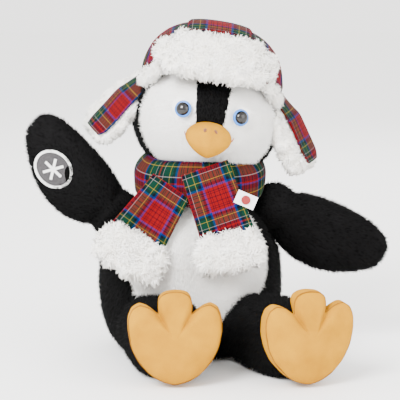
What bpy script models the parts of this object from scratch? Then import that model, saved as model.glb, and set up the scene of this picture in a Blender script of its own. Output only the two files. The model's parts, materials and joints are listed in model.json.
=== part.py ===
"""Plush penguin, sitting, with a lift-off trapper hat and a fleece-ended scarf.

Metres, +Z up. The penguin faces -Y and its left side is +X. The origin is on the floor, under
the middle of the model. Every soft shell is a layer of a base surface: pile fabric outside, with
stuffing inside it at a small clearance.
"""
import math

import bmesh
import bpy
from mathutils import Matrix, Vector

# ---------------------------------------------------------------- driving dimensions
GAP = 0.0004            # between pieces that touch
SKIN = 0.0026           # pile fabric, backing and pile together
SEAM = 0.0004           # between two panels sewn side by side
FILL_CLEAR = 0.0009     # between a skin and its stuffing

BODY_AT = Vector((0.000, 0.000, 0.070))
BODY_HALF = Vector((0.0895, 0.079, 0.090))
BODY_SQUARE = 2.5       # 2 is an ellipsoid, more is squarer
BODY_TOP = BODY_AT.z + BODY_HALF.z
BODY_FRONT = BODY_AT.y - BODY_HALF.y
BELLY_X = 0.008
BELLY_HALF_WIDTH = 0.066
BELLY_BOTTOM = 0.034
BELLY_TOP = BODY_TOP + 0.014
SEAT_HEIGHT = 0.014

NECK_RADIUS = 0.027
NECK_CLEAR = 0.0008     # between the neck and the body under it
NECK_EDGE = 0.0020      # its rounded upper edge
HEAD_HALF = Vector((0.073, 0.066, 0.062))
HEAD_ROLL = math.radians(9)     # the head leans to the penguin's left
HEAD_YAW = math.radians(3.5)    # and the face turns a little the same way
NECK_AT = Vector((0.005, 0.000, BODY_TOP + 0.0055))
SCARF_RADII = (0.0580, 0.0550)
SCARF_SECTION = (0.0065, 0.0125)
HEAD_OVER_SCARF = HEAD_HALF.z * math.sqrt(1 - (SCARF_RADII[0] / HEAD_HALF.x) ** 2)
NECK_TO_HEAD = HEAD_OVER_SCARF + 0.03085    # keeps the head's underside clear of the neck band
FACE_DEPTH = 0.030      # the face panels start this far in front of the head's middle
STRIPE_HALF = 0.0145
STRIPE_BOTTOM = 0.004

EYE_AZIMUTH = math.radians(21.5)
EYE_UP = 0.0105
EYE_DISC_RADIUS = 0.0078
EYE_DISC_THICK = 0.0016
EYE_DISC_EDGE = 0.0006
EYE_SEAT = 0.0006       # the disc stands clear of the curved face by this much
EYE_PUPIL_RADIUS = 0.0056
EYE_PUPIL_HEIGHT = 0.0042
EYE_SHANK_RADIUS = 0.0016
EYE_SHANK_END = 0.0020  # how far the shank passes its washer
EYE_WASHER_RADIUS = 0.0050
EYE_WASHER_THICK = 0.0012
EYE_WASHER_DEPTH = 0.0026   # of the washer under the skin, which curves away from it
BEAK_HALF = Vector((0.022, 0.024, 0.0165))
BEAK_UP = -0.0125
BEAK_SINK = 0.003       # how far the beak's middle is in front of the face
BEAK_MOUTH = -0.007     # height of the line between its two halves
NOSTRIL_AT = Vector((0.0055, -0.010, 0.010))
NOSTRIL_HALF = (0.0024, 0.0016)
THREAD = 0.0009

HAT_UP = 0.468 * HEAD_HALF.z    # height of the hat's rim over the head's middle
HEAD_AT_RIM = math.sqrt(1 - (HAT_UP / HEAD_HALF.z) ** 2)
HAT_HALF = Vector((HEAD_HALF.x * HEAD_AT_RIM + 0.0050, HEAD_HALF.y * HEAD_AT_RIM + 0.0102,
                   HEAD_HALF.z + 0.0020))
HAT_SQUARE = 2.5
HAT_CLOTH = 0.0026
GUSSET_HALF = 0.030
BRIM_THICK = 0.012
BRIM_HALF_WIDTH = 0.060
BRIM_HEIGHT = (0.044, 0.081)
RIM_TILT = math.radians(14)     # the rim rises towards the front, under the brim
FLAP_LENGTH = 0.064
FLAP_HALF_WIDTH = 0.030
FLAP_CLOTH = 0.0022
FLAP_FLEECE = 0.0065
FLAP_SPREAD = math.radians(29)
FLAP_TURN = math.radians(20)    # the tartan face turned forward
FLAP_ROOT = (HAT_HALF.x + 0.0070, HAT_UP - 0.0020)  # across and up from the head's middle

SCARF_AT = NECK_AT + Vector((0.005, -0.004, 0.0080))
TAIL_CLOTH = 0.0045
TAIL_END_THICK = 0.013
HEM_GAP = 0.0020        # between a tail and its fleece end
FLEECE_SPREAD = 0.003   # a fleece end is this much wider on each side at its foot
LABEL_HALF = (0.010, 0.0005, 0.0065)
LABEL_AT = Vector((0.0535, BODY_FRONT - 0.0025, SCARF_AT.z - 0.0105))
LABEL_TURN = math.radians(23)
DOT_RADIUS = 0.0044
DOT_HALF_THICK = 0.0003
SCARF_TAILS = {         # side: (top, bottom of the cloth, bottom of the fleece, half widths)
    "right": ((-0.034, 0.0120, -0.0095), (-0.055, 0.0015, -0.0445), (-0.074, -0.0135, -0.0775),
              (0.020, 0.028, 0.037)),
    "left": ((0.008, 0.0085, 0.0075), (0.023, -0.0005, -0.0415), (0.031, -0.0130, -0.0765),
             (0.022, 0.026, 0.034)),
}                       # the points are from the scarf's middle in x and z, the body's front in y

WING_LENGTH = 0.109
WING_HALF_WIDTH = 0.035
WING_HALF_THICK = 0.0145
WING_ROOT_HALF = 0.028
WING_TAPER = 0.12
WING_DEPTH = -0.008
WING_RECESS = 0.002     # clearance of the wing's root in the body
WINGS = {               # side: (hinge point, angle over the horizontal, rise of the tip)
    "right": (Vector((BODY_AT.x - BODY_HALF.x + 0.0060, WING_DEPTH, BODY_TOP - 0.014)),
              math.radians(44), 0.012),
    "left": (Vector((BODY_AT.x + BODY_HALF.x + 0.0040, WING_DEPTH, BODY_TOP - 0.0215)),
             math.radians(-24), 0.002),
}
BADGE_AT = (0.063, 0.015, -0.008)
BADGE_FIELD_HALF = (0.0178, 0.0148)
BADGE_HALF = (0.0208, 0.0178)
BADGE_THICK = 0.0010
BADGE_RAISED = 0.0016
FLAKE_REACH = 0.0105
FLAKE_HALF_WIDTH = 0.0013

LEG_RADIUS = 0.0335
LEG_BACK = BODY_FRONT + 0.029   # y of the leg's hidden end, which the body cuts back
LEG_FRONT = BODY_FRONT - 0.067  # y of its other end, which the foot cuts back
FOLD_CLEAR = 0.0010     # the fold between leg and body, and between foot and leg
FOOT_HALF_THICK = 0.0160
FOOT_SEAM = -0.0050     # where the sole meets the top, from the middle of the foot's thickness
FOOT_OUTLINE = (        # (degrees from straight up, distance from the foot's middle)
    (0, 0.0440), (11, 0.0436), (21, 0.0405), (27, 0.0350), (32, 0.0310), (37, 0.0370), (44, 0.0452),
    (55, 0.0478), (70, 0.0455), (90, 0.0412), (135, 0.0395), (180, 0.0425))
FOOT_UP = 0.0448
FEET = {                # side: (foot's middle, turned outward, leg's middle at the body)
    "right": (Vector((-0.013, BODY_FRONT - 0.073, FOOT_UP)), math.radians(3), (-0.036, 0.0350)),
    "left": (Vector((0.108, BODY_FRONT - 0.071, FOOT_UP)), math.radians(18), (0.058, 0.0350)),
}

COLOURS = {
    "black_fur": ((0.012, 0.012, 0.013), 0.9), "white_fur": ((0.83, 0.82, 0.79), 0.9),
    "fleece": ((0.86, 0.83, 0.76), 0.95), "tartan": ((0.45, 0.03, 0.04), 0.85),
    "gold_plush": ((0.78, 0.46, 0.11), 0.85), "thread": ((0.42, 0.13, 0.03), 0.8),
    "eye_blue": ((0.30, 0.52, 0.80), 0.25), "eye_black": ((0.005, 0.005, 0.006), 0.08),
    "stuffing": ((0.88, 0.88, 0.87), 0.95), "washer": ((0.80, 0.80, 0.78), 0.45),
    "badge_grey": ((0.16, 0.17, 0.19), 0.8), "badge_white": ((0.80, 0.80, 0.79), 0.8),
    "label": ((0.86, 0.86, 0.85), 0.6), "label_red": ((0.60, 0.02, 0.03), 0.6),
}

# ---------------------------------------------------------------- scene and small helpers
for old in list(bpy.data.objects):
    bpy.data.objects.remove(old)

PARTS = bpy.data.collections.new("plush_penguin")
CUTTERS = bpy.data.collections.new("cutters")
for group in (PARTS, CUTTERS):
    bpy.context.scene.collection.children.link(group)


def material(name):
    if name in bpy.data.materials:
        return bpy.data.materials[name]
    colour, roughness = COLOURS[name]
    made = bpy.data.materials.new(name)
    made.use_nodes = True
    shader = made.node_tree.nodes["Principled BSDF"]
    shader.inputs["Base Color"].default_value = (*colour, 1)
    shader.inputs["Roughness"].default_value = roughness
    shader.inputs["Metallic"].default_value = 0
    return made


def add(name, mesh, slot, frame=Matrix()):
    """A part: an object in the parts collection, placed by its frame."""
    part = bpy.data.objects.new(name, mesh)
    PARTS.objects.link(part)
    part.matrix_world = frame
    mesh.materials.append(material(slot))
    for face in mesh.polygons:
        face.use_smooth = True
    return part


def cutter(name, mesh, frame=Matrix()):
    tool = bpy.data.objects.new(name, mesh)
    CUTTERS.objects.link(tool)
    tool.matrix_world = frame
    tool.hide_render = True
    tool.display_type = "WIRE"
    return tool


def mesh_from(name, bm, recalculate=True):
    mesh = bpy.data.meshes.new(name)
    if recalculate:
        bmesh.ops.recalc_face_normals(bm, faces=bm.faces)
    bm.to_mesh(mesh)
    bm.free()
    return mesh


def box_mesh(name, low, high):
    bm = bmesh.new()
    bmesh.ops.create_cube(bm, size=1)
    for v in bm.verts:
        v.co = Vector([l + (c + 0.5) * (h - l) for c, l, h in zip(v.co, low, high)])
    return mesh_from(name, bm)


def box(name, low, high, frame=Matrix()):
    """A box cutter from its two corners."""
    return cutter(name, box_mesh(name, low, high), frame)


def drum(name, radii, depth, frame=Matrix(), segments=24):
    """An elliptical cylinder cutter about its frame's Z."""
    bm = bmesh.new()
    bmesh.ops.create_cone(bm, cap_ends=True, segments=segments, radius1=1, radius2=1, depth=depth)
    for v in bm.verts:
        v.co.x *= radii[0]
        v.co.y *= radii[1]
    return cutter(name, mesh_from(name, bm), frame)


def ball(name, shape, segments, rings, pole="Z"):
    """A unit sphere's mesh, with each of its points moved by shape."""
    bm = bmesh.new()
    bmesh.ops.create_uvsphere(bm, u_segments=segments, v_segments=rings, radius=1)
    turn = {"Z": Matrix(), "Y": Matrix.Rotation(math.pi / 2, 4, "X"),
            "X": Matrix.Rotation(math.pi / 2, 4, "Y")}[pole]
    turn = turn @ Matrix.Rotation(math.pi / segments, 4, "Z")     # keeps points off the seams
    for v in bm.verts:
        v.co = shape(turn @ v.co)
    return mesh_from(name, bm, recalculate=False)


def squared(p, power):
    """The unit sphere's point moved out to a rounder-cornered box of the same size."""
    return p / sum(abs(c) ** power for c in p) ** (1 / power)


def boolean(part, tool, operation):
    cut = part.modifiers.new(operation.lower(), "BOOLEAN")
    cut.operation = operation
    cut.solver = "EXACT"
    cut.object = tool
    return part


def shape_by(part, keep=(), cut=()):
    for tool in keep:
        boolean(part, tool, "INTERSECT")
    for tool in cut:
        boolean(part, tool, "DIFFERENCE")
    return part


def offset(part, distance):
    """Moves the surface out along its normals, or in where distance is negative."""
    move = part.modifiers.new("offset", "DISPLACE")
    move.mid_level = 0
    move.strength = distance
    return part


def layer(name, mesh, slot, frame, inner, outer, keep=(), cut=()):
    """The part of the layer between two offsets of a surface that lies inside all of keep."""
    part = add(name, mesh.copy(), slot, frame)
    if outer:
        offset(part, outer)
    shell = part.modifiers.new("shell", "SOLIDIFY")
    shell.thickness = outer - inner
    shell.offset = -1
    return shape_by(part, keep, cut)


def filling(name, mesh, frame, depth, cut=()):
    """The stuffing inside a skin of that depth."""
    part = add(name, mesh.copy(), "stuffing", frame)
    return shape_by(offset(part, -depth - FILL_CLEAR), (), cut)


FAR = 0.4               # larger than the whole model
THROUGH = 0.03          # deep enough to cut through a skin, and no other


def half_space(name, axis, low=None, high=None, frame=Matrix()):
    """A box cutter that is bounded on one axis only."""
    corner_low, corner_high = [-FAR] * 3, [FAR] * 3
    corner_low[axis] = -FAR if low is None else low
    corner_high[axis] = FAR if high is None else high
    return box(name, corner_low, corner_high, frame)


def local_frame(origin, x_axis, y_axis):
    x_axis = x_axis.normalized()
    z_axis = x_axis.cross(y_axis).normalized()
    y_axis = z_axis.cross(x_axis)
    frame = Matrix((x_axis, y_axis, z_axis)).transposed().to_4x4()
    frame.translation = origin
    return frame


# ---------------------------------------------------------------- body
def body_shape(p):
    q = squared(p, BODY_SQUARE)
    point = Vector([c * h for c, h in zip(q, BODY_HALF)]) + BODY_AT
    point.z = max(point.z, 0)
    return point


def wing_frame(side):
    """x out along the wing, y towards its back, z across it; the origin on the seam's hinge."""
    at, angle, _ = WINGS[side]
    out = 1 if side == "left" else -1
    along = Vector((out * math.cos(angle), 0, math.sin(angle)))
    return local_frame(at, along, Vector((0, out, 0)))


def build_body():
    mesh = ball("body_surface", body_shape, 20, 13)
    half = (BELLY_HALF_WIDTH, (BELLY_TOP - BELLY_BOTTOM) / 2)
    belly_at = (Matrix.Translation((BELLY_X, -FAR / 2, (BELLY_TOP + BELLY_BOTTOM) / 2))
                @ Matrix.Rotation(math.pi / 2, 4, "X"))
    belly = drum("belly_area", half, FAR, belly_at)
    around = drum("belly_edge", [h + SEAM for h in half], FAR, belly_at)
    seat = half_space("seat_area", 2, high=SEAT_HEIGHT)
    above = half_space("above_seat", 2, low=SEAT_HEIGHT + SEAM)
    left = half_space("left_side", 0, low=BODY_AT.x + SEAM / 2)
    right = half_space("right_side", 0, high=BODY_AT.x - SEAM / 2)
    recesses = [drum(f"{side}_wing_recess", (WING_HALF_THICK + WING_RECESS,) * 2,
                     2 * (WING_ROOT_HALF + 2 * WING_RECESS), wing_frame(side)) for side in WINGS]
    frame = Matrix()
    layer("belly_panel", mesh, "white_fur", frame, -SKIN, 0, keep=[belly], cut=recesses)
    layer("back_left_panel", mesh, "black_fur", frame, -SKIN, 0, [above, left], [around, *recesses])
    layer("back_right_panel", mesh, "black_fur", frame, -SKIN, 0, [above, right], [around, *recesses])
    layer("seat_panel", mesh, "black_fur", frame, -SKIN, 0, [seat])
    filling("body_stuffing", mesh, frame, SKIN, recesses)


# ---------------------------------------------------------------- head, in its own frame
HEAD = (Matrix.Translation(NECK_AT) @ Matrix.Rotation(HEAD_ROLL, 4, "Y")
        @ Matrix.Translation((0, 0, NECK_TO_HEAD)))
FACE = HEAD @ Matrix.Rotation(HEAD_YAW, 4, "Z")


def head_shape(p):
    return Vector([c * h for c, h in zip(p, HEAD_HALF)])


def face_point(azimuth, up, lift=0.0):
    """A frame on the face: z straight out of it, x towards the penguin's left."""
    ring = math.sqrt(1 - (up / HEAD_HALF.z) ** 2)
    at = Vector((HEAD_HALF.x * ring * math.sin(azimuth), -HEAD_HALF.y * ring * math.cos(azimuth), up))
    normal = Vector([c / h ** 2 for c, h in zip(at, HEAD_HALF)]).normalized()
    side = Vector((0, 0, 1)).cross(normal)
    return FACE @ local_frame(at + normal * lift, side, normal.cross(side))


def turned(name, profile, slot, frame, steps=14):
    """A solid turned about its frame's z from (radius, height) points, top to bottom."""
    bm = bmesh.new()
    points = [bm.verts.new((r, 0, z)) for r, z in profile]
    for a, b in zip(points, points[1:]):
        bm.edges.new((a, b))
    mesh = bpy.data.meshes.new(name)
    bm.to_mesh(mesh)
    bm.free()
    part = add(name, mesh, slot, frame)
    screw = part.modifiers.new("turn", "SCREW")
    screw.steps = screw.render_steps = steps
    screw.use_merge_vertices = True
    screw.merge_threshold = 0.00001
    return part


def build_eye(side):
    sign = 1 if side == "left" else -1
    frame = face_point(sign * EYE_AZIMUTH, EYE_UP)
    disc_top = EYE_SEAT + EYE_DISC_THICK
    bore = EYE_SHANK_RADIUS + GAP
    washer_top = -SKIN - EYE_WASHER_DEPTH
    washer_low = washer_top - EYE_WASHER_THICK
    end = washer_low - EYE_SHANK_END
    turned(f"{side}_eye_disc", [(bore, disc_top), (EYE_DISC_RADIUS - EYE_DISC_EDGE, disc_top),
           (EYE_DISC_RADIUS, disc_top - EYE_DISC_EDGE), (EYE_DISC_RADIUS, EYE_SEAT),
           (bore, EYE_SEAT), (bore, disc_top)], "eye_blue", frame)
    base = disc_top + GAP
    dome = [(EYE_PUPIL_RADIUS * math.sin(a), base + EYE_PUPIL_HEIGHT * math.cos(a))
            for a in [math.radians(18 * i) for i in range(6)]]
    dome[0] = (0, base + EYE_PUPIL_HEIGHT)
    shank = [(EYE_SHANK_RADIUS, base), (EYE_SHANK_RADIUS, end), (0, end)]
    turned(f"{side}_eye_pupil", dome + shank, "eye_black", frame)
    turned(f"{side}_eye_washer", [(bore, washer_top), (EYE_WASHER_RADIUS, washer_top),
           (EYE_WASHER_RADIUS, washer_low), (bore, washer_low), (bore, washer_top)],
           "washer", frame)
    hole = drum(f"{side}_eye_hole", (bore, bore), THROUGH, frame, 16)
    low, high = end - GAP, THROUGH / 2
    pocket = drum(f"{side}_eye_pocket", (EYE_WASHER_RADIUS + GAP,) * 2, high - low,
                  frame @ Matrix.Translation((0, 0, (low + high) / 2)), 16)
    return hole, pocket


def beak_shape(p):
    """Egg-shaped, its tip forward and bent down, with a peak on the brow."""
    q = squared(p, 2.2)
    forward = max(-q.y, 0)
    wide = BEAK_HALF.x * (1 - 0.45 * forward ** 2)
    tall = BEAK_HALF.z * (1 - 0.35 * forward ** 2)
    return Vector((q.x * wide, q.y * BEAK_HALF.y, q.z * tall - 0.006 * forward ** 2))


def build_beak(face_cut):
    frame = FACE @ Matrix.Translation((0, -HEAD_HALF.y * 0.97 - BEAK_SINK, BEAK_UP))
    mesh = ball("beak_surface", beak_shape, 16, 10)
    upper = half_space("over_mouth", 2, low=BEAK_MOUTH + SEAM / 2, frame=frame)
    lower = half_space("under_mouth", 2, high=BEAK_MOUTH - SEAM / 2, frame=frame)
    shape_by(add("beak_upper", mesh.copy(), "gold_plush", frame), [upper], [face_cut])
    shape_by(add("beak_lower", mesh.copy(), "gold_plush", frame), [lower], [face_cut])
    for side, sign in (("left", 1), ("right", -1)):
        at = Matrix.Translation((sign * NOSTRIL_AT.x, NOSTRIL_AT.y, NOSTRIL_AT.z))
        spot = drum(f"{side}_nostril_area", NOSTRIL_HALF, THROUGH, frame @ at, 14)
        layer(f"{side}_nostril", mesh, "thread", frame, GAP, GAP + THREAD, [spot])


def build_head():
    mesh = ball("head_surface", head_shape, 20, 12)
    in_front = half_space("face_area", 1, high=-FACE_DEPTH - SEAM / 2, frame=FACE)
    behind = half_space("head_back_area", 1, low=-FACE_DEPTH + SEAM / 2, frame=FACE)
    stripe = box("stripe_area", (-STRIPE_HALF, -FAR, STRIPE_BOTTOM), (STRIPE_HALF, FAR, FAR), FACE)
    edge = SEAM + STRIPE_HALF
    stripe_edge = box("stripe_edge", (-edge, -FAR, STRIPE_BOTTOM - SEAM), (edge, FAR, FAR), FACE)
    left = half_space("face_left_area", 0, low=SEAM / 2, frame=FACE)
    right = half_space("face_right_area", 0, high=-SEAM / 2, frame=FACE)
    cuts = {side: build_eye(side) for side in ("left", "right")}
    layer("head_back_panel", mesh, "black_fur", HEAD, -SKIN, 0, [behind])
    layer("forehead_stripe", mesh, "black_fur", HEAD, -SKIN, 0, [in_front, stripe])
    layer("face_left_panel", mesh, "white_fur", HEAD, -SKIN, 0, [in_front, left],
          [stripe_edge, cuts["left"][0]])
    layer("face_right_panel", mesh, "white_fur", HEAD, -SKIN, 0, [in_front, right],
          [stripe_edge, cuts["right"][0]])
    filling("head_stuffing", mesh, HEAD, SKIN, [pocket for _, pocket in cuts.values()])
    grown = [h + GAP for h in HEAD_HALF]
    face_cut = cutter("face_clearance", ball("face_clearance", lambda p: Vector(
        [c * h for c, h in zip(p, grown)]), 20, 12), HEAD)
    build_beak(face_cut)
    top, low = -SEAM, BODY_TOP + NECK_CLEAR - NECK_AT.z
    turned("neck_stuffing", [(0, top), (NECK_RADIUS - NECK_EDGE, top),
           (NECK_RADIUS, top - NECK_EDGE), (NECK_RADIUS, low), (0, low)],
           "stuffing", Matrix.Translation(NECK_AT))


# ---------------------------------------------------------------- hat, in the head's frame
def hat_shape(p):
    q = squared(p, HAT_SQUARE)
    return Vector([c * h for c, h in zip(q, HAT_HALF)]) + Vector((0, 0, HAT_UP))


def flap_frame(side):
    """x down the flap, y across it, z out of its tartan face; the origin on the fold."""
    sign = 1 if side == "left" else -1
    across, up = FLAP_ROOT
    down = Vector((sign * math.sin(FLAP_SPREAD), 0, -math.cos(FLAP_SPREAD)))
    return (HEAD @ local_frame(Vector((sign * across, 0, up)), down, Vector((0, sign, 0)))
            @ Matrix.Rotation(sign * FLAP_TURN, 4, "X"))


def flap_shape(low, high):
    def shape(p):
        q = squared(p, 4)
        along = (q.x + 1) / 2
        width = FLAP_HALF_WIDTH * (1 - 0.28 * along ** 2)
        return Vector((FLAP_LENGTH * along, q.y * width, low + (q.z + 1) / 2 * (high - low)))
    return shape


def build_hat():
    mesh = ball("hat_surface", hat_shape, 20, 12)
    rims = [half_space(f"over_{name}_rim", 2, low=0, frame=HEAD @ Matrix.Translation((0, 0, HAT_UP))
                       @ Matrix.Rotation(-tilt, 4, "X")) for name, tilt in (("back", 0),
                                                                            ("front", RIM_TILT))]
    middle = box("gusset_area", (-GUSSET_HALF, -FAR, -FAR), (GUSSET_HALF, FAR, FAR), HEAD)
    left = half_space("hat_left_area", 0, low=GUSSET_HALF + SEAM, frame=HEAD)
    right = half_space("hat_right_area", 0, high=-GUSSET_HALF - SEAM, frame=HEAD)
    layer("hat_gusset", mesh, "tartan", HEAD, -HAT_CLOTH, 0, [*rims, middle])
    layer("hat_left_panel", mesh, "tartan", HEAD, -HAT_CLOTH, 0, [*rims, left])
    layer("hat_right_panel", mesh, "tartan", HEAD, -HAT_CLOTH, 0, [*rims, right])
    low, high = BRIM_HEIGHT
    brim = drum("brim_area", (BRIM_HALF_WIDTH, (high - low) / 2), FAR,
                HEAD @ Matrix.Translation((0, -FAR / 2, (low + high) / 2))
                @ Matrix.Rotation(math.pi / 2, 4, "X"))
    layer("hat_brim_fleece", mesh, "fleece", HEAD, GAP, GAP + BRIM_THICK, [brim])
    for side in ("left", "right"):
        frame = flap_frame(side)
        cloth = ball("flap_cloth", flap_shape(0, FLAP_CLOTH), 12, 8, "X")
        add(f"hat_{side}_flap_cloth", cloth, "tartan", frame)
        lining = ball("flap_fleece", flap_shape(-GAP - FLAP_FLEECE, -GAP), 12, 8, "X")
        add(f"hat_{side}_flap_fleece", lining, "fleece", frame)


# ---------------------------------------------------------------- scarf
def scarf_band_shape(around, section):
    """A point of the neck band from its two angles."""
    thick, tall = SCARF_SECTION
    out = thick * math.cos(section)
    lean = 0.003 * math.cos(around)
    return SCARF_AT + Vector(((SCARF_RADII[0] + out) * math.cos(around),
                              (SCARF_RADII[1] + out) * math.sin(around),
                              tall * math.sin(section) - lean))


def slab(name, slot, top, bottom, half_widths, thick):
    """A cloth strip from top to bottom, hanging face forward, as a rounded slab."""
    down = bottom - top
    side = down.cross(Vector((0, 1, 0))).normalized() * -1
    out = side.cross(down).normalized()

    def shape(p):
        q = squared(p, 5)
        along = (1 - q.z) / 2
        width = half_widths[0] + (half_widths[1] - half_widths[0]) * along
        return side * (q.x * width) + down * along + out * (q.y * thick / 2)
    return add(name, ball(name, shape, 12, 8), slot, Matrix.Translation(top))


def build_scarf():
    bm = bmesh.new()
    around, sections = 26, 8
    rings = [[bm.verts.new(scarf_band_shape(math.tau * i / around, math.tau * j / sections))
              for j in range(sections)] for i in range(around)]
    for i in range(around):
        for j in range(sections):
            k, m = (i + 1) % around, (j + 1) % sections
            bm.faces.new((rings[i][j], rings[k][j], rings[k][m], rings[i][m]))
    add("scarf_neck_band", mesh_from("scarf_neck_band", bm), "tartan")
    base = Vector((SCARF_AT.x, BODY_FRONT, SCARF_AT.z))
    for side, (*points, widths) in SCARF_TAILS.items():
        top, middle, end = [base + Vector(point) for point in points]
        slab(f"scarf_{side}_tail", "tartan", top, middle, widths[:2], TAIL_CLOTH)
        start = middle + (end - middle).normalized() * HEM_GAP
        slab(f"scarf_{side}_fleece", "fleece", start, end, (widths[2] - FLEECE_SPREAD, widths[2]),
             TAIL_END_THICK)
    at = Matrix.Translation(LABEL_AT) @ Matrix.Rotation(LABEL_TURN, 4, "Y")
    add("scarf_label", box_mesh("scarf_label", [-h for h in LABEL_HALF], LABEL_HALF), "label", at)
    dot = (at @ Matrix.Translation((0, -LABEL_HALF[1] - GAP - DOT_HALF_THICK, 0))
           @ Matrix.Rotation(math.pi / 2, 4, "X"))
    turned("label_dot", [(0, DOT_HALF_THICK), (DOT_RADIUS, DOT_HALF_THICK),
           (DOT_RADIUS, -DOT_HALF_THICK), (0, -DOT_HALF_THICK)], "label_red", dot)


# ---------------------------------------------------------------- wings
def wing_shape(tip_rise):
    """A flat paddle with a straight rounded root on the hinge and a fuller trailing side."""
    def shape(p):
        q = squared(p, 3.2)
        along = (q.x + 1) / 2
        belly = math.sin(math.pi * min(1.0, along * 1.1))
        width = WING_ROOT_HALF + (WING_HALF_WIDTH - WING_ROOT_HALF) * belly
        width *= 1 - WING_TAPER * along ** 3
        x = -WING_HALF_THICK + along * (WING_LENGTH + WING_HALF_THICK)
        rise = tip_rise * along ** 2 - 0.005 * belly
        return Vector((x, q.y * WING_HALF_THICK * (1 - 0.25 * along), q.z * width + rise))
    return shape


def build_wing(side):
    frame = wing_frame(side)
    mesh = ball("wing_surface", wing_shape(WINGS[side][2]), 16, 10, "X")
    out = 1 if side == "left" else -1
    halves = {"front": dict(high=-SEAM / 2), "back": dict(low=SEAM / 2)}
    for half, bound in halves.items():
        if out < 0:
            bound = {"low" if key == "high" else "high": -value for key, value in bound.items()}
        area = half_space(f"{side}_wing_{half}_area", 1, frame=frame, **bound)
        layer(f"{side}_wing_{half}_panel", mesh, "black_fur", frame, -SKIN, 0, [area])
    filling(f"{side}_wing_stuffing", mesh, frame, SKIN)
    return mesh, frame


def snowflake(name, frame):
    """Three crossed bars as one cutter."""
    bm = bmesh.new()
    points = []
    wide = FLAKE_HALF_WIDTH
    for i in range(6):
        turn = Matrix.Rotation(math.tau * i / 6, 2)
        for x, y in ((wide * math.sqrt(3), -wide), (FLAKE_REACH, -wide), (FLAKE_REACH, wide)):
            corner = turn @ Vector((x, y))
            points.append((corner.x, corner.y))
    low = [bm.verts.new((x, y, -THROUGH / 2)) for x, y in points]
    bm.faces.new(low)
    lifted = bmesh.ops.extrude_face_region(bm, geom=list(bm.faces))
    for item in lifted["geom"]:
        if isinstance(item, bmesh.types.BMVert):
            item.co.z += THROUGH
    return cutter(name, mesh_from(name, bm), frame)


def build_badge(mesh, frame):
    """An embroidered patch near the wing's tip, on its front."""
    at = frame @ Matrix.Translation(BADGE_AT) @ Matrix.Rotation(math.pi / 2, 4, "X")
    field = drum("badge_field_area", BADGE_FIELD_HALF, THROUGH, at)
    around = drum("badge_field_edge", [h + SEAM for h in BADGE_FIELD_HALF], THROUGH, at)
    whole = drum("badge_area", BADGE_HALF, THROUGH, at)
    flake = snowflake("badge_flake_area", at)
    field_top = GAP + BADGE_THICK
    layer("badge_field", mesh, "badge_grey", frame, GAP, field_top, [field])
    layer("badge_border", mesh, "badge_white", frame, GAP, GAP + BADGE_RAISED, [whole], [around])
    layer("badge_snowflake", mesh, "badge_white", frame, field_top + GAP, GAP + field_top +
          BADGE_RAISED - BADGE_THICK, [flake])


# ---------------------------------------------------------------- legs and feet
def foot_frame(side):
    """y out of the foot's back, z up; turned outward about the vertical."""
    at, turn, _ = FEET[side]
    return Matrix.Translation(at) @ Matrix.Rotation(turn, 4, "Z")


def foot_reach(degrees):
    """How far the foot's outline is from its middle, in a direction measured from straight up."""
    for (start, first), (end, last) in zip(FOOT_OUTLINE, FOOT_OUTLINE[1:]):
        if degrees <= end:
            return first + (last - first) * (degrees - start) / (end - start)
    return FOOT_OUTLINE[-1][1]


def foot_shape(p):
    """A flat foot standing on its heel, with three long toes along its upper edge."""
    flat = Vector((p.x, 0, p.z))
    q = squared(Vector((flat.length, p.y, 0)), 3)
    reach = foot_reach(math.degrees(abs(math.atan2(p.x, p.z))))
    return flat.normalized() * (q.x * reach) + Vector((0, q.y * FOOT_HALF_THICK, 0))


def build_leg(side):
    """A stubby leg that hugs the body behind it and the foot in front of it."""
    at, _, (hip_x, hip_z) = FEET[side]
    start = Vector((hip_x, LEG_BACK, hip_z))
    axis = Vector((at.x, LEG_FRONT, hip_z)) - start

    def shape(p):
        q = squared(p, 3.6)
        centre = start + axis * ((1 - q.y) / 2)
        return centre + Vector((q.x * LEG_RADIUS, 0, q.z * LEG_RADIUS))
    mesh = ball(f"{side}_leg_surface", shape, 16, 8, "Y")
    front = half_space(f"{side}_ankle_cut", 1, high=FOOT_HALF_THICK + FOLD_CLEAR, frame=foot_frame(side))
    body = offset(cutter(f"{side}_hip_cut", ball("hip_cut", body_shape, 20, 13)), FOLD_CLEAR)
    rims = {"upper": dict(low=hip_z + SEAM / 2), "under": dict(high=hip_z - SEAM / 2)}
    for half, bound in rims.items():
        area = half_space(f"{side}_leg_{half}", 2, **bound)
        layer(f"{side}_leg_{half}_panel", mesh, "black_fur", Matrix(), -SKIN, 0, [area], [front, body])
    filling(f"{side}_leg_stuffing", mesh, Matrix(), SKIN, [front, body])


def build_foot(side):
    frame = foot_frame(side)
    mesh = ball("foot_surface", foot_shape, 64, 8, "Y")
    sole = half_space(f"{side}_sole_area", 1, high=FOOT_SEAM - SEAM / 2, frame=frame)
    top = half_space(f"{side}_top_area", 1, low=FOOT_SEAM + SEAM / 2, frame=frame)
    layer(f"{side}_foot_sole", mesh, "gold_plush", frame, -SKIN, 0, [sole])
    layer(f"{side}_foot_top", mesh, "gold_plush", frame, -SKIN, 0, [top])
    filling(f"{side}_foot_stuffing", mesh, frame, SKIN)


build_body()
build_head()
build_hat()
build_scarf()
for wing_side in WINGS:
    wing_mesh, wing_at = build_wing(wing_side)
    if wing_side == "right":
        build_badge(wing_mesh, wing_at)
for foot_side in FEET:
    build_leg(foot_side)
    build_foot(foot_side)
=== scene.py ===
"""The looks of the plush penguin: fur, fleece, tartan, plush feet and beak, glass-like eyes.

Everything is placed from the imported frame. Fur and fleece are real strands of mesh.
"""

import json
import math

import bmesh
import bpy
import numpy as np
from mathutils import Matrix, Vector, noise
from mathutils.bvhtree import BVHTree


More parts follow.
